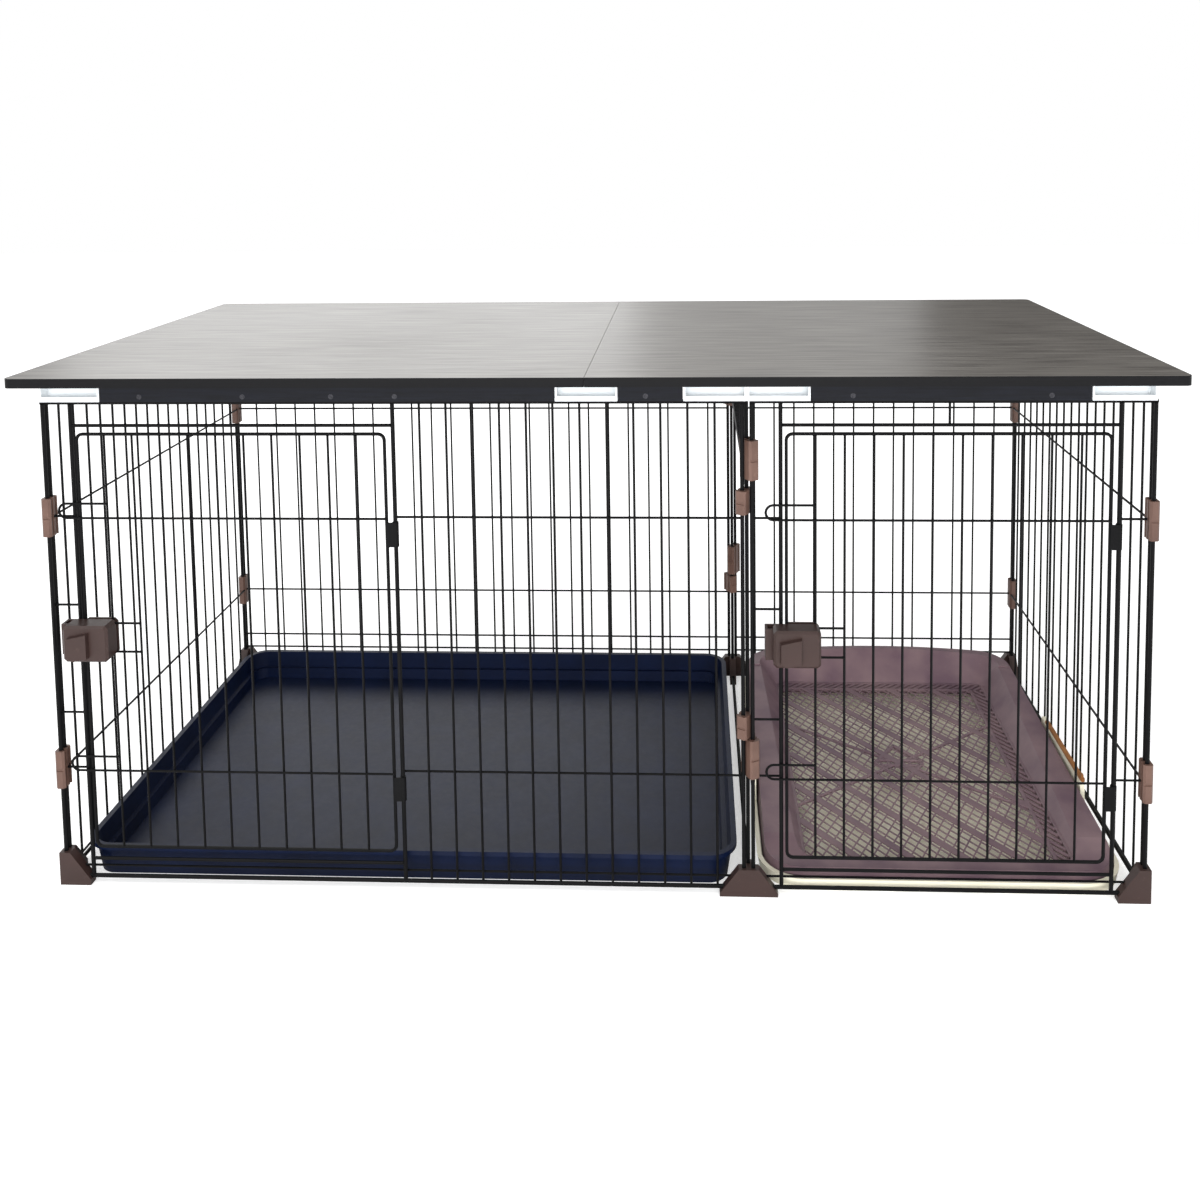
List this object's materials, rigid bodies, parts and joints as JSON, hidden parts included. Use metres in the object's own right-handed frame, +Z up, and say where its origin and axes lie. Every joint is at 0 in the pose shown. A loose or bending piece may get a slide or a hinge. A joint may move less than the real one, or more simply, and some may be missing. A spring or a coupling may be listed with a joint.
{
  "type": "wire dog cage with wooden table top",
  "caption": "Wire pet cage with separate living and toilet rooms, hinged latched doors, clipped panels in plastic feet, lift-out trays and a wooden table top.",
  "frame": {"origin": "on the floor under the middle of the table top", "axes": "+X along the length towards the toilet room, +Z up, the doors face -Y"},
  "size_m": [1.46, 0.69, 0.6825],
  "materials": {
    "black_wire": "black powder coat",
    "clip_plastic": "moulded satin",
    "foot_plastic": "moulded satin",
    "latch_plastic": "moulded satin",
    "strap_steel": "black coated strip",
    "white_plastic": "extruded",
    "navy_plastic": "moulded",
    "cream_plastic": "moulded",
    "mauve_plastic": "moulded",
    "orange_plastic": "moulded",
    "wood_board": "brushed grey stain",
    "black_edging": "extruded band",
    "dark_lath": "dark lacquer"
  },
  "bodies": {
    "cage": {"front_left_panel": "black_wire", "front_right_panel": "black_wire", "back_left_panel": "black_wire", "back_right_panel": "black_wire", "left_side_panel": "black_wire", "right_side_panel": "black_wire", "divider_panel": "black_wire", "corner_clips": "clip_plastic", "centre_clips": "clip_plastic", "front_left_foot": "foot_plastic", "front_right_foot": "foot_plastic", "front_centre_foot": "foot_plastic", "back_left_foot": "foot_plastic", "back_right_foot": "foot_plastic", "back_centre_foot": "foot_plastic", "front_channels": "white_plastic", "back_channels": "white_plastic"},
    "left_door": {"left_door_frame": "black_wire", "left_door_mesh": "black_wire", "left_door_stops": "black_wire", "left_hinge_straps": "strap_steel", "left_latch_housing": "latch_plastic", "left_latch_plate": "latch_plastic"},
    "left_latch": {"left_latch_slider": "latch_plastic"},
    "left_table_top": {"left_board": "wood_board", "left_board_edging": "black_edging", "left_laths": "dark_lath"},
    "left_lock": {"left_lock_lever": "orange_plastic"},
    "right_door": {"right_door_frame": "black_wire", "right_door_mesh": "black_wire", "right_door_stops": "black_wire", "right_hinge_straps": "strap_steel", "right_latch_housing": "latch_plastic", "right_latch_plate": "latch_plastic"},
    "right_latch": {"right_latch_slider": "latch_plastic"},
    "right_table_top": {"right_board": "wood_board", "right_board_edging": "black_edging", "right_laths": "dark_lath"},
    "right_lock": {"right_lock_lever": "orange_plastic"},
    "living_tray": {"living_tray": "navy_plastic"},
    "toilet_pan": {"toilet_pan": "cream_plastic"},
    "toilet_grate": {"toilet_frame": "mauve_plastic", "toilet_grid": "mauve_plastic"}
  },
  "joints": [
    {"name": "left_door_hinge", "type": "hinge", "parent": "cage", "child": "left_door", "pos_m": [-0.247, -0.31, 0.33], "axis": [0, 0, 1], "range_deg": [0, 150]},
    {"name": "left_latch_slide", "type": "slide", "parent": "left_door", "child": "left_latch", "axis": [1, 0, 0], "range_m": [0, 0.008]},
    {"name": "left_table_top_lift", "type": "slide", "parent": "cage", "child": "left_table_top", "axis": [0, 0, 1], "range_m": [0, 0.2]},
    {"name": "right_door_hinge", "type": "hinge", "parent": "cage", "child": "right_door", "pos_m": [0.6585, -0.31, 0.33], "axis": [0, 0, 1], "range_deg": [0, 150]},
    {"name": "right_latch_slide", "type": "slide", "parent": "right_door", "child": "right_latch", "axis": [1, 0, 0], "range_m": [0, 0.008]},
    {"name": "right_table_top_lift", "type": "slide", "parent": "cage", "child": "right_table_top", "axis": [0, 0, 1], "range_m": [0, 0.2]},
    {"name": "living_tray_lift", "type": "slide", "parent": "cage", "child": "living_tray", "axis": [0, 0, 1], "range_m": [0, 0.15]},
    {"name": "toilet_pan_lift", "type": "slide", "parent": "cage", "child": "toilet_pan", "axis": [0, 0, 1], "range_m": [0, 0.15]},
    {"name": "toilet_grate_lift", "type": "slide", "parent": "toilet_pan", "child": "toilet_grate", "axis": [0, 0, 1], "range_m": [0, 0.12]},
    {"name": "left_lock_turn", "type": "hinge", "parent": "toilet_pan", "child": "left_lock", "pos_m": [0.2175, 0.044, 0.052], "axis": [0, 0, 1], "range_deg": [0, 18]},
    {"name": "right_lock_turn", "type": "hinge", "parent": "toilet_pan", "child": "right_lock", "pos_m": [0.685, 0.044, 0.052], "axis": [0, 0, 1], "range_deg": [-18, 0]}
  ]
}
